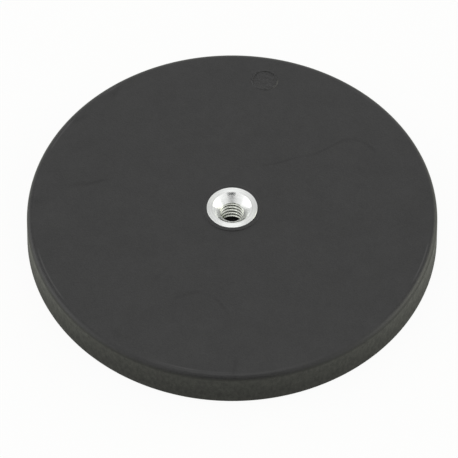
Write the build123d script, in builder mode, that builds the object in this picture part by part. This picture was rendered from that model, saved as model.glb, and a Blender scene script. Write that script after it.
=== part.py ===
from build123d import *
from math import radians, tan
import os

os.makedirs("parts", exist_ok=True)

# A flat pot magnet: neodymium discs on a steel plate, moulded into a rubber jacket, with a threaded
# bush in the middle of its back. Millimetres. Z = 0 is the magnetic face, +Z leaves the back.

# Rubber jacket
jacket_diameter = 88.0        # at the magnetic face
side_draft = 0.38             # how much smaller the radius is at the back
back_edge_radius = 1.3
face_edge_radius = 0.85
face_skin = 0.8               # rubber under the magnets
back_skin = 2.2               # rubber over the plate
side_wall = 3.0               # rubber round the plate

# Low collar of the jacket round the bush
collar_wall = 0.8             # ring of rubber outside the bush
collar_height = 0.2
collar_edge_radius = 0.09

# Shallow round recess in the back, where the rubber was injected
gate_diameter = 5.1
gate_depth = 0.1
gate_edge_distance = 7.5      # from its centre to the outside of the jacket
gate_angle = 78.7             # degrees from +X
gate_edge_radius = 0.06

# Steel plate
plate_thickness = 2.5
plate_edge_chamfer = 0.3

# Neodymium discs, in an outer ring near the plate's edge and an inner ring near the bush
magnet_diameter = 12.0
magnet_thickness = 3.0
magnet_edge_chamfer = 0.25
outer_ring_count = 12
outer_ring_margin = 2.0       # from its discs to the plate's edge
inner_ring_count = 6
inner_ring_margin = 4.0       # from its discs to the bush's shoulder

# Threaded bush, M6
bush_diameter = 10.8
bush_proud = 0.06             # above the rubber collar
bush_edge_radius = 0.1
countersink_diameter = 8.3
countersink_angle = 90.0      # degrees, full angle
thread_minor_diameter = 5.0   # M6 x 1, bored before tapping
shoulder_width = 1.6          # the shoulder's overhang under the plate
shoulder_thickness = 1.6

# Heights and radii that follow
magnet_top = face_skin + magnet_thickness
plate_bottom = magnet_top
plate_top = plate_bottom + plate_thickness
jacket_top = plate_top + back_skin
collar_top = jacket_top + collar_height
bush_top = collar_top + bush_proud
bush_bottom = plate_bottom - shoulder_thickness

jacket_radius = jacket_diameter / 2
plate_radius = jacket_radius - side_wall
magnet_radius = magnet_diameter / 2
bush_radius = bush_diameter / 2
shoulder_radius = bush_radius + shoulder_width
collar_radius = bush_radius + collar_wall
countersink_radius = countersink_diameter / 2
thread_radius = thread_minor_diameter / 2
countersink_depth = (countersink_radius - thread_radius) / tan(radians(countersink_angle / 2))
outer_ring_radius = plate_radius - outer_ring_margin - magnet_radius
inner_ring_radius = shoulder_radius + inner_ring_margin + magnet_radius
gate_radius = jacket_radius - gate_edge_distance


# Steel plate: a punched disc with a round hole that the bush is pressed into.
with BuildPart() as steel_plate:
    with BuildSketch(Plane.XY.offset(plate_bottom)):
        Circle(plate_radius)
        Circle(bush_radius, mode=Mode.SUBTRACT)
    extrude(amount=plate_thickness)
    outer_rims = steel_plate.edges().filter_by(GeomType.CIRCLE).group_by(SortBy.RADIUS)[-1]
    chamfer(outer_rims, plate_edge_chamfer)

steel_plate.part.label = "steel_plate"
export_step(steel_plate.part, "parts/steel_plate.step")


# Threaded bush: turned in one piece, with a shoulder that bears on the plate from below.
with BuildPart() as threaded_bush:
    with BuildSketch(Plane.XZ) as outline:
        with BuildLine():
            Polyline(
                (thread_radius, bush_bottom),
                (shoulder_radius, bush_bottom),
                (shoulder_radius, plate_bottom),
                (bush_radius, plate_bottom),
                (bush_radius, bush_top),
                (countersink_radius, bush_top),
                (thread_radius, bush_top - countersink_depth),
                close=True,
            )
        make_face()
        bush_edge = Vector(bush_radius, bush_top)
        fillet(outline.vertices().sort_by_distance(bush_edge)[0], bush_edge_radius)
    revolve(axis=Axis.Z)

threaded_bush.part.label = "threaded_bush"
export_step(threaded_bush.part, "parts/threaded_bush.step")


# Neodymium discs: two rings, the outer one turned by half a step so that the discs interleave.
outer_ring = PolarLocations(outer_ring_radius, outer_ring_count, start_angle=180 / outer_ring_count)
inner_ring = PolarLocations(inner_ring_radius, inner_ring_count)

magnets = []
for number, place in enumerate([*outer_ring, *inner_ring], start=1):
    with BuildPart() as magnet:
        with BuildSketch(Plane.XY.offset(face_skin)):
            with Locations(place):
                Circle(magnet_radius)
        extrude(amount=magnet_thickness)
        chamfer(magnet.edges().filter_by(GeomType.CIRCLE), magnet_edge_chamfer)

    magnet.part.label = f"magnet_{number:02d}"
    export_step(magnet.part, f"parts/{magnet.part.label}.step")
    magnets.append(magnet.part)


# Rubber jacket: moulded in one shot round the plate, the discs and the outside of the bush.
with BuildPart() as rubber_jacket:
    with BuildSketch(Plane.XZ) as section:
        with BuildLine():
            Polyline(
                (0, 0),
                (jacket_radius, 0),
                (jacket_radius - side_draft, jacket_top),
                (collar_radius, jacket_top),
                (collar_radius, collar_top),
                (0, collar_top),
                close=True,
            )
        make_face()
        fillet(section.vertices().sort_by(Axis.X)[-1], face_edge_radius)
        back_corner = Vector(jacket_radius - side_draft, jacket_top)
        fillet(section.vertices().sort_by_distance(back_corner)[0], back_edge_radius)
        collar_edge = Vector(collar_radius, collar_top)
        fillet(section.vertices().sort_by_distance(collar_edge)[0], collar_edge_radius)
        collar_root = Vector(collar_radius, jacket_top)
        fillet(section.vertices().sort_by_distance(collar_root)[0], collar_edge_radius)
    revolve(axis=Axis.Z)

    # what the rubber closes round
    add(steel_plate.part, mode=Mode.SUBTRACT)
    add(magnets, mode=Mode.SUBTRACT)
    with BuildSketch(Plane.XY.offset(bush_bottom)):
        Circle(bush_radius)
    extrude(amount=collar_top - bush_bottom, mode=Mode.SUBTRACT)
    fillet(rubber_jacket.edges(Select.LAST).group_by(Axis.Z)[-1], collar_edge_radius)
    with BuildSketch(Plane.XY.offset(bush_bottom)):
        Circle(shoulder_radius)
    extrude(amount=shoulder_thickness, mode=Mode.SUBTRACT)

    # gate recess in the back
    with BuildSketch(Plane.XY.offset(jacket_top)):
        with PolarLocations(gate_radius, 1, start_angle=gate_angle):
            Circle(gate_diameter / 2)
    extrude(amount=-gate_depth, mode=Mode.SUBTRACT)
    fillet(rubber_jacket.edges(Select.LAST).group_by(Axis.Z)[-1], gate_edge_radius)

rubber_jacket.part.label = "rubber_jacket"
export_step(rubber_jacket.part, "parts/rubber_jacket.step")
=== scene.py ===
from math import cos, pi, radians, sin, tan

import bmesh
import bpy
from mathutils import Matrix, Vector


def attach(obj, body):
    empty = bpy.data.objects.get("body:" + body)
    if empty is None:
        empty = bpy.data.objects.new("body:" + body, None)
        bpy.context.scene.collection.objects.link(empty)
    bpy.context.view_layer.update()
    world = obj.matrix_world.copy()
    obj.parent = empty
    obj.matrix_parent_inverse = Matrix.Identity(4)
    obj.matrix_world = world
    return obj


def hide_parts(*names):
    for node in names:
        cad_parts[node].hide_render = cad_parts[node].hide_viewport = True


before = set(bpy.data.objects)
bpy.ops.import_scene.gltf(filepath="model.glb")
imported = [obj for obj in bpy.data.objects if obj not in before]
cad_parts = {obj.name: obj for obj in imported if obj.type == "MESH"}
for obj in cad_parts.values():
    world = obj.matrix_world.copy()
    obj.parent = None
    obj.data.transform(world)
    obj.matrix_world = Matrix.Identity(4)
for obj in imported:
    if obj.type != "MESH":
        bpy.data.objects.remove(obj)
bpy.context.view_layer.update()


# ---- Steel plate -----------------------------------------------------------------------------
# The yoke that carries the discs: punched from cold rolled strip and flashed with zinc, so it has
# the strip's fine parallel rolling lines under a dull silver skin. The bush is pressed into it.

MM = 0.001                      # metres


def linear(hex_colour):
    """An sRGB hex colour as linear RGBA."""
    channels = [int(hex_colour[start:start + 2], 16) / 255 for start in (1, 3, 5)]
    return [level / 12.92 if level <= 0.04045 else ((level + 0.055) / 1.055) ** 2.4
            for level in channels] + [1.0]


def add_node(tree, kind, sockets=None, **settings):
    """Add a node with its settings. A socket is given a value, or another node's output to link."""
    node = tree.nodes.new(kind)
    for name, value in settings.items():
        setattr(node, name, value)
    for name, value in (sockets or {}).items():
        if isinstance(value, bpy.types.NodeSocket):
            tree.links.new(value, node.inputs[name])
        else:
            node.inputs[name].default_value = value
    return node


def new_material(name):
    """A material with no nodes yet but its output."""
    material = bpy.data.materials.new(name)
    material.use_nodes = True
    material.node_tree.nodes.clear()
    return material, material.node_tree, add_node(material.node_tree, "ShaderNodeOutputMaterial")


rolling_line = 0.35 * MM        # finer in the real strip, drawn as wide as it needs to show
rolling_depth = 0.01 * MM
bloom_size = 9.0 * MM           # of the cloudy patches in the zinc

rolled_steel, tree, output = new_material("zinc_flashed_rolled_steel")
place = add_node(tree, "ShaderNodeTexCoord").outputs["Object"]
along_strip = add_node(tree, "ShaderNodeMapping", {"Vector": place, "Scale": (0.02, 1.0, 1.0)})
rolling = add_node(tree, "ShaderNodeTexNoise",
                   {"Vector": along_strip.outputs["Vector"], "Scale": 1 / rolling_line,
                    "Detail": 3.0})
zinc_bloom = add_node(tree, "ShaderNodeTexNoise",
                      {"Vector": place, "Scale": 1 / bloom_size, "Detail": 4.0})
zinc_tone = add_node(tree, "ShaderNodeMix",
                     {"Factor": zinc_bloom.outputs["Fac"], 6: linear("#a9abab"),
                      7: linear("#c4c6c4")}, data_type="RGBA")
dullness = add_node(tree, "ShaderNodeMapRange",
                    {"Value": rolling.outputs["Fac"], "To Min": 0.28, "To Max": 0.46})
relief = add_node(tree, "ShaderNodeBump",
                  {"Height": rolling.outputs["Fac"], "Strength": 0.4,
                   "Distance": rolling_depth})
steel = add_node(tree, "ShaderNodeBsdfPrincipled",
                 {"Base Color": zinc_tone.outputs[2], "Metallic": 1.0,
                  "Roughness": dullness.outputs["Result"], "Normal": relief.outputs["Normal"]})
tree.links.new(steel.outputs["BSDF"], output.inputs["Surface"])

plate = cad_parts["steel_plate"]
plate.data.materials[0] = rolled_steel


# ---- Threaded bush ---------------------------------------------------------------------------
# Turned from free-cutting steel bar, with a countersunk mouth, an M6 x 1 thread and a blue-white
# zinc plating that keeps the tool's rings. It is pressed up through the plate to its shoulder.

bush_top = 8.76
bush_bottom = 2.2
shoulder_top = 3.8
shoulder_radius = 7.0
bush_radius = 5.4
bush_edge = 0.1
mouth_radius = 4.15
mouth_bulge = 0.066             # how far the countersink's slope stands out of a straight cone
bore_radius = 2.5
thread_root_radius = 3.0
thread_pitch = 1.0
thread_crest = 0.30             # width of the flat left by the bored hole
thread_root = 0.125
thread_top = 7.1                # where the countersink ends and the thread's colour begins
weld = 0.0005 * MM              # points nearer than this are one
near = 0.002 * MM               # what counts as lying on a circle or a plane


def turn(bm, section, steps, centre=(0.0, 0.0)):
    """Turn a section of (radius, height) points in millimetres about an upright axis."""
    axis = Vector((centre[0] * MM, centre[1] * MM, 0.0))
    there_before = set(bm.verts)
    points = [bm.verts.new(axis + Vector((radius * MM, 0.0, height * MM)))
              for radius, height in section]
    lines = [bm.edges.new(pair) for pair in zip(points, points[1:])]
    bmesh.ops.spin(bm, geom=points + lines, cent=axis, axis=(0, 0, 1), angle=2 * pi,
                   steps=steps, use_merge=True)
    turned = [vert for vert in bm.verts if vert not in there_before]
    bmesh.ops.remove_doubles(bm, verts=turned, dist=weld)


def rings(bm, circles, centre=(0.0, 0.0)):
    """The edges that lie on any of these (radius, height) circles."""
    axis = Vector((centre[0] * MM, centre[1] * MM))

    def on_circle(vert, radius, height):
        return (abs((vert.co.xy - axis).length - radius * MM) < near
                and abs(vert.co.z - height * MM) < near)

    return [edge for edge in bm.edges
            if any(all(on_circle(vert, *circle) for vert in edge.verts) for circle in circles)]


def make_piece(bm, name, material, sharpest=radians(32)):
    """A piece of that mesh, its faces outward and smooth, with its sharper edges kept."""
    bmesh.ops.recalc_face_normals(bm, faces=bm.faces)
    for face in bm.faces:
        face.smooth = True
    for edge in bm.edges:
        edge.smooth = edge.calc_face_angle(0.0) < sharpest
    mesh = bpy.data.meshes.new(name)
    bm.to_mesh(mesh)
    bm.free()
    piece = bpy.data.objects.new(name, mesh)
    mesh.materials.append(material)
    bpy.context.scene.collection.objects.link(piece)
    return piece


tool_ring = 0.3 * MM            # finer on the real bush, drawn as wide as it needs to show
tool_ring_depth = 0.02 * MM

turned_steel, tree, output = new_material("zinc_plated_turned_steel")
place = add_node(tree, "ShaderNodeTexCoord").outputs["Object"]
across = add_node(tree, "ShaderNodeVectorMath", {0: place, 1: (1.0, 1.0, 0.0)},
                  operation="MULTIPLY")
radius = add_node(tree, "ShaderNodeVectorMath", {0: across.outputs["Vector"]}, operation="LENGTH")
upright = add_node(tree, "ShaderNodeSeparateXYZ", {"Vector": place})
tool_rings = add_node(tree, "ShaderNodeTexNoise",
                      {"W": radius.outputs["Value"], "Scale": 1 / tool_ring, "Detail": 2.0},
                      noise_dimensions="1D")
relief = add_node(tree, "ShaderNodeBump",
                  {"Height": tool_rings.outputs["Fac"], "Strength": 0.8,
                   "Distance": tool_ring_depth})

# The colour: two tones of zinc in the rings, and a faintly yellower one in the thread
turned_tone = add_node(tree, "ShaderNodeMix",
                       {"Factor": tool_rings.outputs["Fac"], 6: linear("#e2e4e2"),
                        7: linear("#fafbf9")}, data_type="RGBA")
in_thread = add_node(tree, "ShaderNodeMapRange",
                     {"Value": upright.outputs["Z"], "From Min": (thread_top + 0.1) * MM,
                      "From Max": (thread_top - 0.1) * MM}, interpolation_type="SMOOTHSTEP")
bush_tone = add_node(tree, "ShaderNodeMix",
                     {"Factor": in_thread.outputs["Result"], 6: turned_tone.outputs[2],
                      7: linear("#eff2e8")}, data_type="RGBA")

# The dullness: more on the flat end and down the countersink, less where the tap has cut
on_end = add_node(tree, "ShaderNodeMapRange",
                  {"Value": radius.outputs["Value"], "From Min": (mouth_radius - 0.15) * MM,
                   "From Max": (mouth_radius + 0.15) * MM, "To Min": 0.0, "To Max": 0.25},
                  interpolation_type="SMOOTHSTEP")
down_cone = add_node(tree, "ShaderNodeMapRange",
                     {"Value": radius.outputs["Value"], "From Min": (mouth_radius - 0.15) * MM,
                      "From Max": thread_root_radius * MM, "To Min": 0.0, "To Max": 0.2},
                     interpolation_type="SMOOTHSTEP")
duller = add_node(tree, "ShaderNodeMath",
                  {0: on_end.outputs["Result"], 1: down_cone.outputs["Result"]})
cut_by_tap = add_node(tree, "ShaderNodeMath",
                      {0: in_thread.outputs["Result"], 1: -0.1, 2: duller.outputs["Value"]},
                      operation="MULTIPLY_ADD")
shine = add_node(tree, "ShaderNodeMapRange",
                 {"Value": tool_rings.outputs["Fac"], "To Min": 0.08, "To Max": 0.18})
dullness = add_node(tree, "ShaderNodeMath",
                    {0: cut_by_tap.outputs["Value"], 1: shine.outputs["Result"]})
round_the_axis = add_node(tree, "ShaderNodeTangent", direction_type="RADIAL", axis="Z")
steel = add_node(tree, "ShaderNodeBsdfPrincipled",
                 {"Base Color": bush_tone.outputs[2], "Metallic": 1.0,
                  "Roughness": dullness.outputs["Value"], "Anisotropic": 0.88,
                  "Anisotropic Rotation": 0.25, "Normal": relief.outputs["Normal"],
                  "Tangent": round_the_axis.outputs["Tangent"]})
tree.links.new(steel.outputs["BSDF"], output.inputs["Surface"])

bm = bmesh.new()
slope_steps = 12
mouth_slope = []
for step in range(slope_steps + 1):
    way_down = step / slope_steps
    bulge = 4 * mouth_bulge * way_down * (1 - way_down) / 2 ** 0.5
    sunk = (mouth_radius - bore_radius) * way_down
    mouth_slope.append((mouth_radius - sunk - bulge, bush_top - sunk + bulge))
turn(bm, [(bore_radius, bush_bottom), (shoulder_radius, bush_bottom),
          (shoulder_radius, shoulder_top), (bush_radius, shoulder_top), (bush_radius, bush_top)]
     + mouth_slope + [(bore_radius, bush_bottom)], steps=192)
bmesh.ops.bevel(bm, geom=rings(bm, [(bush_radius, bush_top)]), offset=bush_edge * MM,
                affect="EDGES", segments=4, profile=0.5, material=-1)
bush = make_piece(bm, "tapped_bush", turned_steel)

# The tap is a screw whose ridges cut the bore's wall below the mouth. One pitch of its outline
# climbs as it turns.
tap_bottom = bush_bottom - 1.22         # its height sets where round the bore the thread starts
tap_turns = 8
steps_a_turn = 120
tap_core = 2.4                          # inside the bore, so that only the ridges cut
tap_end = bush_bottom - 0.4             # the thread runs right through the bush's lower end
unthreaded = 0.06                       # height of bore left plain under the countersink
thread_depth = thread_root_radius - bore_radius
flank = (thread_pitch - thread_crest - thread_root) / 2
in_the_bore = flank * (bore_radius - tap_core) / thread_depth      # the flank's part in the bore
core_width = thread_crest - 2 * in_the_bore
flank += in_the_bore
outline = [(tap_core, 0.0), (tap_core, core_width),
           (thread_root_radius, core_width + flank),
           (thread_root_radius, core_width + flank + thread_root),
           (tap_core, thread_pitch)]

bm = bmesh.new()
points = [bm.verts.new((reach * MM, 0.0, (tap_bottom + rise) * MM)) for reach, rise in outline]
lines = [bm.edges.new(pair) for pair in zip(points, points[1:])]
bmesh.ops.spin(bm, geom=points + lines, cent=(0, 0, 0), axis=(0, 0, 1), angle=2 * pi,
               steps=steps_a_turn, dvec=(0, 0, thread_pitch * MM / steps_a_turn))
one_turn = bm.verts[:] + bm.edges[:] + bm.faces[:]
for number in range(1, tap_turns):
    copied = bmesh.ops.duplicate(bm, geom=one_turn)["geom"]
    bmesh.ops.translate(bm, verts=[item for item in copied if isinstance(item, bmesh.types.BMVert)],
                        vec=(0, 0, number * thread_pitch * MM))
bmesh.ops.remove_doubles(bm, verts=bm.verts, dist=near)
for height, outward in ((tap_end, -1), (mouth_slope[-1][1] - unthreaded, 1)):
    cut = bmesh.ops.bisect_plane(bm, geom=bm.verts[:] + bm.edges[:] + bm.faces[:],
                                 plane_co=(0, 0, height * MM), plane_no=(0, 0, outward),
                                 clear_outer=True)
    rim = [item for item in cut["geom_cut"] if isinstance(item, bmesh.types.BMEdge)]
    bmesh.ops.edgenet_fill(bm, edges=rim)
tap = make_piece(bm, "tap", turned_steel)

tapping = bush.modifiers.new("tapping", "BOOLEAN")
tapping.operation = "DIFFERENCE"
tapping.solver = "EXACT"
tapping.object = tap
tapped = bpy.data.meshes.new_from_object(
    bush.evaluated_get(bpy.context.evaluated_depsgraph_get()))
bpy.data.objects.remove(bush)
bpy.data.objects.remove(tap)
bm = bmesh.new()
bm.from_mesh(tapped)
bmesh.ops.remove_doubles(bm, verts=bm.verts, dist=weld)
bush = make_piece(bm, "tapped_bush", turned_steel)
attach(bush, "root")
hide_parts("threaded_bush")


# ---- Neodymium discs -------------------------------------------------------------------------
# Sintered, ground and barrel-plated with bright nickel: smooth, faintly warm silver, with the soft
# dimpling that the tumbling barrel leaves. They hold themselves to the plate's lower face.

dimple_size = 0.8 * MM
dimple_depth = 0.02 * MM

nickel, tree, output = new_material("nickel_plated_neodymium")
place = add_node(tree, "ShaderNodeTexCoord").outputs["Object"]
dimples = add_node(tree, "ShaderNodeTexNoise",
                   {"Vector": place, "Scale": 1 / dimple_size, "Detail": 3.0})
nickel_tone = add_node(tree, "ShaderNodeMix",
                       {"Factor": dimples.outputs["Fac"], 6: linear("#c9c4ba"),
                        7: linear("#dad6cd")}, data_type="RGBA")
dullness = add_node(tree, "ShaderNodeMapRange",
                    {"Value": dimples.outputs["Fac"], "To Min": 0.12, "To Max": 0.24})
relief = add_node(tree, "ShaderNodeBump",
                  {"Height": dimples.outputs["Fac"], "Strength": 0.3,
                   "Distance": dimple_depth})
plating = add_node(tree, "ShaderNodeBsdfPrincipled",
                   {"Base Color": nickel_tone.outputs[2], "Metallic": 1.0,
                    "Roughness": dullness.outputs["Result"],
                    "Normal": relief.outputs["Normal"]})
tree.links.new(plating.outputs["BSDF"], output.inputs["Surface"])

for name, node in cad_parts.items():
    if name.startswith("magnet_"):
        node.data.materials[0] = nickel


# ---- Rubber jacket ---------------------------------------------------------------------------
# Black rubber injected round the plate, the discs and the outside of the bush in one shot. The
# spark-eroded mould leaves it matt, with a fine grain on the back and coarser pits down the side.
# A low collar stands round the bush, and the gate was torn off in a shallow round recess.

jacket_radius = 44.0
side_draft = 0.38
jacket_top = 8.5
back_edge = 1.3
face_edge = 0.85
collar_radius = 6.2
collar_top = 8.7
collar_edge = 0.09
plate_radius = 41.0
plate_bottom = shoulder_top
plate_top = 6.3
plate_edge = 0.3
face_skin = 0.8
magnet_radius = 6.0
magnet_edge = 0.25
magnet_rings = ((33.0, 12, 15.0), (17.0, 6, 0.0))     # radius, discs, first angle
gate_distance = 36.5                                  # from the axis
gate_angle = radians(78.7)
gate_place = (gate_distance * cos(gate_angle), gate_distance * sin(gate_angle))
gate_radius = 2.55
gate_depth = 0.1
gate_edge = 0.06
steps_round = 288

bm = bmesh.new()
magnet_places = []
for ring_radius, count, first in magnet_rings:
    for number in range(count):
        angle = radians(first + 360 * number / count)
        magnet_places.append((ring_radius * cos(angle), ring_radius * sin(angle)))
for place_mm in magnet_places:
    turn(bm, [(magnet_radius - magnet_edge, plate_bottom),
              (magnet_radius, plate_bottom - magnet_edge),
              (magnet_radius, face_skin + magnet_edge),
              (magnet_radius - magnet_edge, face_skin), (0.0, face_skin)],
         steps=48, centre=place_mm)

back_outer, back_inner = 41.0, 7.2      # the flat back between these is filled in with the gate
floor_outer, floor_inner = 40.2, 7.6    # and so is the pocket's floor, with the discs
turn(bm, [(back_inner, jacket_top), (collar_radius, jacket_top), (collar_radius, collar_top),
          (bush_radius, collar_top), (bush_radius, plate_top),
          (plate_radius - plate_edge, plate_top), (plate_radius, plate_top - plate_edge),
          (plate_radius, plate_bottom + plate_edge), (plate_radius - plate_edge, plate_bottom),
          (floor_outer, plate_bottom)], steps=steps_round)
turn(bm, [(back_outer, jacket_top), (jacket_radius - side_draft, jacket_top),
          (jacket_radius, 0.0), (0.0, 0.0)], steps=steps_round)
turn(bm, [(floor_inner, plate_bottom), (shoulder_radius, plate_bottom),
          (shoulder_radius, bush_bottom), (0.0, bush_bottom)], steps=steps_round)

# The two long edges lean by the draft, so a rounding of radius R starts R / tan(half the corner)
# from each edge.
lean = side_draft / jacket_top
back_corner = (pi / 2 + lean) / 2
face_corner = (pi / 2 - lean) / 2
for circle, offset, segments in (((jacket_radius - side_draft, jacket_top),
                                  back_edge / tan(back_corner), 14),
                                 ((jacket_radius, 0.0), face_edge / tan(face_corner), 8),
                                 ((collar_radius, collar_top), collar_edge, 5),
                                 ((bush_radius, collar_top), collar_edge, 5),
                                 ((collar_radius, jacket_top), collar_edge, 5)):
    bmesh.ops.bevel(bm, geom=rings(bm, [circle]), offset=offset * MM, affect="EDGES",
                    segments=segments, profile=0.5, material=-1)

gate_rim = gate_radius + 0.2            # a narrow ring of the back is turned with the recess
turn(bm, [(gate_rim, jacket_top), (gate_radius, jacket_top),
          (gate_radius, jacket_top - gate_depth), (0.0, jacket_top - gate_depth)],
     steps=72, centre=gate_place)
bmesh.ops.bevel(bm, geom=rings(bm, [(gate_radius, jacket_top)], gate_place),
                offset=gate_edge * MM, affect="EDGES", segments=4, profile=0.5, material=-1)

for height in (jacket_top, plate_bottom):
    rims = [edge for edge in bm.edges if edge.is_boundary
            and all(abs(vert.co.z - height * MM) < near for vert in edge.verts)]
    bmesh.ops.triangle_fill(bm, edges=rims, use_beauty=True, normal=(0, 0, 1))

grain_size = 0.3 * MM           # finer in the real rubber, drawn as coarse as it needs to show
grain_depth = 0.025 * MM
pit_size = 0.75 * MM
pits_top = 7.95 * MM            # heights between which the back's grain gives way to the pits
pits_below = 7.15 * MM
pits_foot = 0.1 * MM            # and between which the pits end at the magnetic face
pits_above = 0.6 * MM
# A thin painted highlight lies along the line where the back meets its rounded edge
highlight_from = 42.05 * MM        # radii of the line where the back meets its rounded edge
highlight_peak = 42.3 * MM
highlight_to = 42.6 * MM
stretch_size = 14.0 * MM
stretch_offset = (421 * MM, 665 * MM, 456 * MM)          # picks the stretches with the painted highlight and the flow lines
cloud_size = 7.0 * MM
flow_size = 32.0 * MM
dullest_below = 2.5 * MM        # heights between which the side grows glossier
glossiest_above = 7.0 * MM
dull_within = 3.2 * MM          # the floor of the bore, fading out to dull_out_to
dull_out_to = 4.0 * MM
torn_within = 2.7 * MM          # round the middle of the gate, fading out to torn_out_to
torn_out_to = 3.1 * MM
tear_size = 1.0 * MM
tear_depth = 22.0               # in depths of the grain

rubber, tree, output = new_material("moulded_black_rubber")
place = add_node(tree, "ShaderNodeTexCoord").outputs["Object"]
upright = add_node(tree, "ShaderNodeSeparateXYZ", {"Vector": place})

# The side, from the rounding of the back edge down to the rounding of the magnetic face
below_edge = add_node(tree, "ShaderNodeMapRange",
                      {"Value": upright.outputs["Z"], "From Min": pits_top,
                       "From Max": pits_below}, interpolation_type="SMOOTHSTEP")
above_face = add_node(tree, "ShaderNodeMapRange",
                      {"Value": upright.outputs["Z"], "From Min": pits_foot,
                       "From Max": pits_above}, interpolation_type="SMOOTHSTEP")
on_side = add_node(tree, "ShaderNodeMath",
                   {0: below_edge.outputs["Result"], 1: above_face.outputs["Result"]},
                   operation="MULTIPLY")
across = add_node(tree, "ShaderNodeVectorMath", {0: place, 1: (1.0, 1.0, 0.0)},
                  operation="MULTIPLY")
radius = add_node(tree, "ShaderNodeVectorMath", {0: across.outputs["Vector"]}, operation="LENGTH")

# The fine grain everywhere, and the pits of the side, drawn out upwards
grain = add_node(tree, "ShaderNodeTexNoise",
                 {"Vector": place, "Scale": 1 / grain_size, "Detail": 2.0, "Roughness": 0.6})
drawn_up = add_node(tree, "ShaderNodeMapping", {"Vector": place, "Scale": (1.0, 1.0, 0.6)})
pitting = add_node(tree, "ShaderNodeTexNoise",
                   {"Vector": drawn_up.outputs["Vector"], "Scale": 1 / pit_size,
                    "Detail": 2.0, "Roughness": 0.6})

# A painted highlight: the edge of the back, lighter in some stretches
highlight_rise = add_node(tree, "ShaderNodeMapRange",
                       {"Value": radius.outputs["Value"], "From Min": highlight_from,
                        "From Max": highlight_peak}, interpolation_type="SMOOTHSTEP")
highlight_fall = add_node(tree, "ShaderNodeMapRange",
                      {"Value": radius.outputs["Value"], "From Min": highlight_peak,
                       "From Max": highlight_to, "To Min": 1.0, "To Max": 0.0},
                      interpolation_type="SMOOTHSTEP")
highlight_ring = add_node(tree, "ShaderNodeMath",
                       {0: highlight_rise.outputs["Result"], 1: highlight_fall.outputs["Result"]},
                       operation="MULTIPLY")
stretch_places = add_node(tree, "ShaderNodeMapping",
                       {"Vector": place, "Location": stretch_offset})
stretch_noise = add_node(tree, "ShaderNodeTexNoise",
                    {"Vector": stretch_places.outputs["Vector"], "Scale": 1 / stretch_size,
                     "Detail": 1.0})
highlight_stretches = add_node(tree, "ShaderNodeMapRange",
                {"Value": stretch_noise.outputs["Fac"], "From Min": 0.53, "From Max": 0.68},
                interpolation_type="SMOOTHSTEP")
painted_highlight = add_node(tree, "ShaderNodeMath",
                  {0: highlight_ring.outputs["Value"], 1: highlight_stretches.outputs["Result"]},
                  operation="MULTIPLY")

# Faint clouds in the black, and short faint lines where two flows of the rubber met
cloudiness = add_node(tree, "ShaderNodeTexNoise",
                      {"Vector": place, "Scale": 1 / cloud_size, "Detail": 4.0,
                       "Roughness": 0.85})
cloud_tone = add_node(tree, "ShaderNodeMapRange",
                      {"Value": cloudiness.outputs["Fac"], "From Min": 0.3, "From Max": 0.7,
                       "To Min": -0.16, "To Max": 0.16})
clouded = add_node(tree, "ShaderNodeMath",
                   {0: cloud_tone.outputs["Result"], 1: grain.outputs["Fac"]})
flow = add_node(tree, "ShaderNodeTexNoise",
                {"Vector": place, "Scale": 1 / flow_size, "Detail": 1.0})
off_the_line = add_node(tree, "ShaderNodeMath", {0: flow.outputs["Fac"], 1: 0.5},
                        operation="SUBTRACT")
from_the_line = add_node(tree, "ShaderNodeMath", {0: off_the_line.outputs["Value"]},
                         operation="ABSOLUTE")
flow_line = add_node(tree, "ShaderNodeMapRange",
                     {"Value": from_the_line.outputs["Value"], "From Max": 0.012,
                      "To Min": -0.32, "To Max": 0.0}, interpolation_type="SMOOTHSTEP")
in_stretches = add_node(tree, "ShaderNodeMapRange",
                        {"Value": stretch_noise.outputs["Fac"], "From Min": 0.5, "From Max": 0.6},
                        interpolation_type="SMOOTHSTEP")
streaked = add_node(tree, "ShaderNodeMath",
                    {0: flow_line.outputs["Result"], 1: in_stretches.outputs["Result"],
                     2: clouded.outputs["Value"]}, operation="MULTIPLY_ADD")

# The colour: the back's grain, the painted highlight on its edge over it, and the side's pits
grain_tone = add_node(tree, "ShaderNodeMix",
                      {"Factor": streaked.outputs["Value"], 6: linear("#101010"),
                       7: linear("#2d2d2d")}, data_type="RGBA")
# The painted highlight lightens the back's edge in stretches
back_tone = add_node(tree, "ShaderNodeMix",
                     {"Factor": painted_highlight.outputs["Value"], 6: grain_tone.outputs[2],
                      7: linear("#383838")}, data_type="RGBA")
pits = add_node(tree, "ShaderNodeMapRange",
                {"Value": pitting.outputs["Fac"], "From Min": 0.3, "From Max": 0.7})
side_tone = add_node(tree, "ShaderNodeMix",
                     {"Factor": pits.outputs["Result"], 6: linear("#000000"),
                      7: linear("#1e1e1b")}, data_type="RGBA")
rubber_tone = add_node(tree, "ShaderNodeMix",
                       {"Factor": on_side.outputs["Value"], 6: back_tone.outputs[2],
                        7: side_tone.outputs[2]}, data_type="RGBA")

# The dullness: the side is duller than the back, less so near its top, and the floor of the bore
# is the dullest
shine = add_node(tree, "ShaderNodeMapRange",
                 {"Value": grain.outputs["Fac"], "To Min": 0.37, "To Max": 0.51})
pit_dullness = add_node(tree, "ShaderNodeMapRange",
                        {"Value": pits.outputs["Result"], "To Min": 0.2, "To Max": 0.12})
drawn_smooth = add_node(tree, "ShaderNodeMapRange",
                        {"Value": upright.outputs["Z"], "From Min": dullest_below,
                         "From Max": glossiest_above, "To Min": 0.03, "To Max": -0.12})
side_dullness = add_node(tree, "ShaderNodeMath",
                         {0: pit_dullness.outputs["Result"], 1: drawn_smooth.outputs["Result"]})
back_and_side = add_node(tree, "ShaderNodeMath",
                         {0: on_side.outputs["Value"], 1: side_dullness.outputs["Value"],
                          2: shine.outputs["Result"]}, operation="MULTIPLY_ADD")
in_bore = add_node(tree, "ShaderNodeMapRange",
                   {"Value": radius.outputs["Value"], "From Min": dull_out_to,
                    "From Max": dull_within, "To Min": 0.0, "To Max": 0.5})
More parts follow.
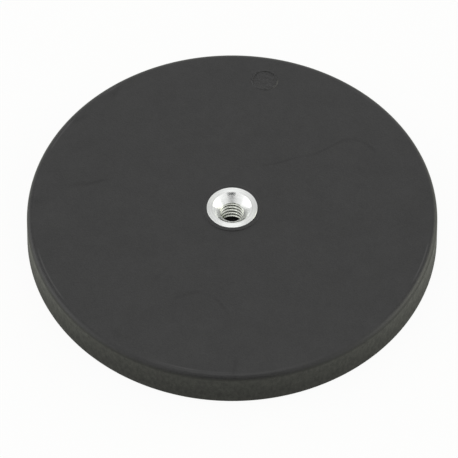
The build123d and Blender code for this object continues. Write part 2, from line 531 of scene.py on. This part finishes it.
dullness = add_node(tree, "ShaderNodeMath",
                    {0: back_and_side.outputs["Value"], 1: in_bore.outputs["Result"]})

# The relief: pits on the side, grain everywhere, and tears in the gate
side_relief = add_node(tree, "ShaderNodeMath",
                       {0: pitting.outputs["Fac"], 1: on_side.outputs["Value"]},
                       operation="MULTIPLY")
fine_relief = add_node(tree, "ShaderNodeMath",
                       {0: side_relief.outputs["Value"], 1: 2.0, 2: grain.outputs["Fac"]},
                       operation="MULTIPLY_ADD")
gate_centre = (gate_place[0] * MM, gate_place[1] * MM, jacket_top * MM)
from_gate = add_node(tree, "ShaderNodeVectorMath", {0: place, 1: gate_centre},
                     operation="DISTANCE")
in_gate = add_node(tree, "ShaderNodeMapRange",
                   {"Value": from_gate.outputs["Value"], "From Min": torn_out_to,
                    "From Max": torn_within, "To Min": 0.0, "To Max": tear_depth},
                   interpolation_type="SMOOTHSTEP")
torn = add_node(tree, "ShaderNodeTexNoise",
                {"Vector": place, "Scale": 1 / tear_size, "Detail": 2.0, "Roughness": 0.6})
torn_relief = add_node(tree, "ShaderNodeMath",
                       {0: torn.outputs["Fac"], 1: in_gate.outputs["Result"],
                        2: fine_relief.outputs["Value"]}, operation="MULTIPLY_ADD")
relief = add_node(tree, "ShaderNodeBump",
                  {"Height": torn_relief.outputs["Value"], "Strength": 1.0,
                   "Distance": grain_depth})
skin = add_node(tree, "ShaderNodeBsdfPrincipled",
                {"Base Color": rubber_tone.outputs[2], "Roughness": dullness.outputs["Value"],
                 "IOR": 1.5, "Normal": relief.outputs["Normal"]})
tree.links.new(skin.outputs["BSDF"], output.inputs["Surface"])

jacket = make_piece(bm, "moulded_jacket", rubber)
even_shading = jacket.modifiers.new("even_shading", "WEIGHTED_NORMAL")
even_shading.keep_sharp = True
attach(jacket, "root")
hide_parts("rubber_jacket")


# ---- Floor -----------------------------------------------------------------------------------
# A sheet of faintly warm white paper on the studio table. It shows white to the camera and in
# anything that mirrors it, and keeps the soft shadow.

sheet_size = 4.0                # in metres, out to each side
clearance = 0.02 * MM           # under the magnetic face
plain_white = 0.94              # the share of its white that no shadow darkens

paper, tree, output = new_material("white_paper")
sight = add_node(tree, "ShaderNodeLightPath")
mirrored = add_node(tree, "ShaderNodeMath",
                    {0: sight.outputs["Is Glossy Ray"], 1: sight.outputs["Is Transmission Ray"]},
                    operation="MAXIMUM")
shown = add_node(tree, "ShaderNodeMath",
                 {0: sight.outputs["Is Camera Ray"], 1: mirrored.outputs["Value"]},
                 operation="MAXIMUM")
share = add_node(tree, "ShaderNodeMath", {0: shown.outputs["Value"], 1: plain_white},
                 operation="MULTIPLY")
shown_tone = add_node(tree, "ShaderNodeMix",
                      {"Factor": mirrored.outputs["Value"], 6: linear("#ffffff"),
                       7: linear("#e9ebdf")}, data_type="RGBA")
sheet = add_node(tree, "ShaderNodeBsdfDiffuse", {"Color": linear("#e6e8dc")})
white = add_node(tree, "ShaderNodeEmission", {"Color": shown_tone.outputs[2], "Strength": 1.0})
both = add_node(tree, "ShaderNodeMixShader",
                {0: share.outputs["Value"], 1: sheet.outputs["BSDF"],
                 2: white.outputs["Emission"]})
tree.links.new(both.outputs["Shader"], output.inputs["Surface"])

bm = bmesh.new()
bmesh.ops.create_grid(bm, x_segments=1, y_segments=1, size=sheet_size)
bmesh.ops.translate(bm, verts=bm.verts, vec=(0, 0, -clearance))
floor = make_piece(bm, "paper_floor", paper)


# ---- Light -----------------------------------------------------------------------------------
# A white tent that is open, and so dark, at its front near the table. The camera stands in the
# opening as a small dark shape. A softbox glows through each side wall, the right one brighter
# and a little warm, and another hangs overhead.

world = bpy.data.worlds.new("light_tent")
bpy.context.scene.world = world
world.use_nodes = True
tree = world.node_tree
tree.nodes.clear()
way = add_node(tree, "ShaderNodeTexCoord").outputs["Generated"]
compass = add_node(tree, "ShaderNodeSeparateXYZ", {"Vector": way})
sight = add_node(tree, "ShaderNodeLightPath")


def direction(bearing, elevation):
    """The way to a place in the tent, in degrees right of the front and up from the table."""
    return Vector((sin(radians(bearing)) * cos(radians(elevation)),
                   -cos(radians(bearing)) * cos(radians(elevation)), sin(radians(elevation))))


def dark_patch(bearing, elevation, half_width, half_height, darkest, softness):
    """How much of the tent's light is left round a patch in its front, whose sizes are degrees."""
    spread = (1 / sin(radians(half_width)), 0.0, 1 / sin(radians(half_height)))
    centre = direction(bearing, elevation)
    offset = (-centre.x * spread[0], 0.0, -centre.z * spread[2])
    flat = add_node(tree, "ShaderNodeMapping",
                    {"Vector": way, "Scale": spread, "Location": offset})
    distance = add_node(tree, "ShaderNodeVectorMath", {0: flat.outputs["Vector"]},
                        operation="LENGTH")
    inside = add_node(tree, "ShaderNodeMapRange",
                      {"Value": distance.outputs["Value"], "From Min": 1 - softness,
                       "From Max": 1 + softness, "To Min": darkest, "To Max": 1.0},
                      interpolation_type="SMOOTHSTEP")
    behind = add_node(tree, "ShaderNodeMath", {0: compass.outputs["Y"], 1: 0.0},
                      operation="GREATER_THAN")
    return add_node(tree, "ShaderNodeMath",
                    {0: behind.outputs["Value"], 1: inside.outputs["Result"]},
                    operation="MAXIMUM").outputs["Value"]


def side_glow(bearing, elevation, core, reach, gain, back_edge):
    """The light a softbox adds: even within its core, gone at its reach and past its back edge."""
    nearness = add_node(tree, "ShaderNodeVectorMath", {0: way, 1: direction(bearing, elevation)},
                        operation="DOT_PRODUCT")
    halo = add_node(tree, "ShaderNodeMapRange",
                    {"Value": nearness.outputs["Value"], "From Min": cos(radians(reach)),
                     "From Max": cos(radians(core)), "To Min": 0.0, "To Max": gain},
                    interpolation_type="SMOOTHSTEP")
    inward = direction(back_edge - 90 if back_edge > 0 else back_edge + 90, 0)
    before_edge = add_node(tree, "ShaderNodeVectorMath", {0: way, 1: inward},
                           operation="DOT_PRODUCT")
    edge = add_node(tree, "ShaderNodeMapRange",
                    {"Value": before_edge.outputs["Value"], "From Min": -0.05, "From Max": 0.1},
                    interpolation_type="SMOOTHSTEP")
    return add_node(tree, "ShaderNodeMath",
                    {0: halo.outputs["Result"], 1: edge.outputs["Result"]},
                    operation="MULTIPLY").outputs["Value"]


# The opening, and what stands dark in it
opening = dark_patch(bearing=0, elevation=0, half_width=40, half_height=29, darkest=0.0,
                     softness=0.35)
operator = dark_patch(bearing=4, elevation=40, half_width=15, half_height=18, darkest=0.86,
                      softness=0.3)
camera_body = dark_patch(bearing=4, elevation=48, half_width=19, half_height=4.4, darkest=0.0,
                         softness=0.1)

# The cloth is brightest half way up, and dimmer in the roof, its front and its two far corners
up_the_wall = add_node(tree, "ShaderNodeMapRange",
                       {"Value": compass.outputs["Z"], "From Min": 0.1, "From Max": 0.5,
                        "To Min": 0.85, "To Max": 1.17}, interpolation_type="SMOOTHSTEP")
roof = add_node(tree, "ShaderNodeMapRange",
                {"Value": compass.outputs["Z"], "From Min": 0.56, "From Max": 0.88,
                 "To Min": 1.0, "To Max": 0.57}, interpolation_type="SMOOTHSTEP")
forward = add_node(tree, "ShaderNodeMapRange",
                   {"Value": compass.outputs["Y"], "From Min": 0.35, "From Max": -0.35,
                    "To Min": 0.0, "To Max": -0.12}, interpolation_type="SMOOTHSTEP")
upward = add_node(tree, "ShaderNodeMapRange",
                  {"Value": compass.outputs["Z"], "From Min": 0.55, "From Max": 0.78},
                  interpolation_type="SMOOTHSTEP")
front_roof = add_node(tree, "ShaderNodeMath",
                      {0: forward.outputs["Result"], 1: upward.outputs["Result"], 2: 1.0},
                      operation="MULTIPLY_ADD")
sideways = add_node(tree, "ShaderNodeMath", {0: compass.outputs["X"]}, operation="ABSOLUTE")
far_corner = add_node(tree, "ShaderNodeMath",
                      {0: sideways.outputs["Value"], 1: compass.outputs["Y"]},
                      operation="MULTIPLY")
high_corner = add_node(tree, "ShaderNodeMath",
                       {0: far_corner.outputs["Value"], 1: compass.outputs["Z"]},
                       operation="MULTIPLY")
in_corner = add_node(tree, "ShaderNodeMapRange",
                     {"Value": high_corner.outputs["Value"], "From Min": 0.07, "From Max": 0.16,
                      "To Min": 1.0, "To Max": 0.58}, interpolation_type="SMOOTHSTEP")
level = in_corner.outputs["Result"]
for shade in (opening, operator, camera_body, up_the_wall.outputs["Result"],
              roof.outputs["Result"], front_roof.outputs["Value"]):
    level = add_node(tree, "ShaderNodeMath", {0: level, 1: shade},
                     operation="MULTIPLY").outputs["Value"]

# The softboxes at the sides
right_glow = side_glow(bearing=105, elevation=9, core=12, reach=34, gain=2.5, back_edge=122)
left_glow = side_glow(bearing=-102, elevation=10, core=8, reach=42, gain=1.0, back_edge=-127)
for glow in (right_glow, left_glow):
    level = add_node(tree, "ShaderNodeMath", {0: level, 1: glow}).outputs["Value"]

# It lights a little less than it mirrors, and the camera sees it plain white
mirrored = add_node(tree, "ShaderNodeMath",
                    {0: sight.outputs["Is Glossy Ray"], 1: sight.outputs["Is Transmission Ray"]},
                    operation="MAXIMUM")
white_cloth = add_node(tree, "ShaderNodeMix",
                       {"Factor": mirrored.outputs["Value"], "A": 0.95, "B": 1.0},
                       data_type="FLOAT")
level = add_node(tree, "ShaderNodeMath", {0: level, 1: white_cloth.outputs[0]},
                 operation="MULTIPLY").outputs["Value"]
shown = add_node(tree, "ShaderNodeMix",
                 {"Factor": sight.outputs["Is Camera Ray"], "A": level, "B": 1.0},
                 data_type="FLOAT")

# The right softbox shines a little warm
warmed = add_node(tree, "ShaderNodeMapRange",
                  {"Value": right_glow, "From Min": 0.8, "From Max": 2.5})
cloth_tone = add_node(tree, "ShaderNodeMix",
                      {"Factor": warmed.outputs["Result"], 6: linear("#ffffff"),
                       7: linear("#fafbe8")}, data_type="RGBA")
sky = add_node(tree, "ShaderNodeBackground",
               {"Color": cloth_tone.outputs[2], "Strength": shown.outputs[0]})
output = add_node(tree, "ShaderNodeOutputWorld", {"Surface": sky.outputs["Background"]})

softbox_width = 0.7             # metres
softbox_length = 0.9
softbox_distance = 1.2
softbox_radiance = 1.15
lamp = bpy.data.lights.new("overhead_softbox", "AREA")
lamp.shape = "RECTANGLE"
lamp.size = softbox_width
lamp.size_y = softbox_length
lamp.energy = softbox_radiance * pi * softbox_width * softbox_length
softbox = bpy.data.objects.new("overhead_softbox", lamp)
softbox.location = direction(bearing=0, elevation=88) * softbox_distance
softbox.rotation_euler = (-softbox.location).to_track_quat("-Z", "Y").to_euler()
softbox.visible_camera = False
bpy.context.scene.collection.objects.link(softbox)


# ---- Camera ----------------------------------------------------------------------------------
# A long lens from the front, 52 degrees above the table. It is aimed a little in front of the
# bush, which puts the jacket in the middle of the picture.

lens = bpy.data.cameras.new("camera")
lens.lens = 211.55
lens.sensor_width = 36.0
camera = bpy.data.objects.new("camera", lens)
camera.location = Vector((0.0, -350.78, 460.68)) * MM
looked_at = Vector((-0.65, -5.6, 8.5)) * MM
camera.rotation_euler = (looked_at - camera.location).to_track_quat("-Z", "Y").to_euler()
bpy.context.scene.collection.objects.link(camera)
bpy.context.scene.camera = camera

bpy.context.scene.view_settings.view_transform = "Standard"
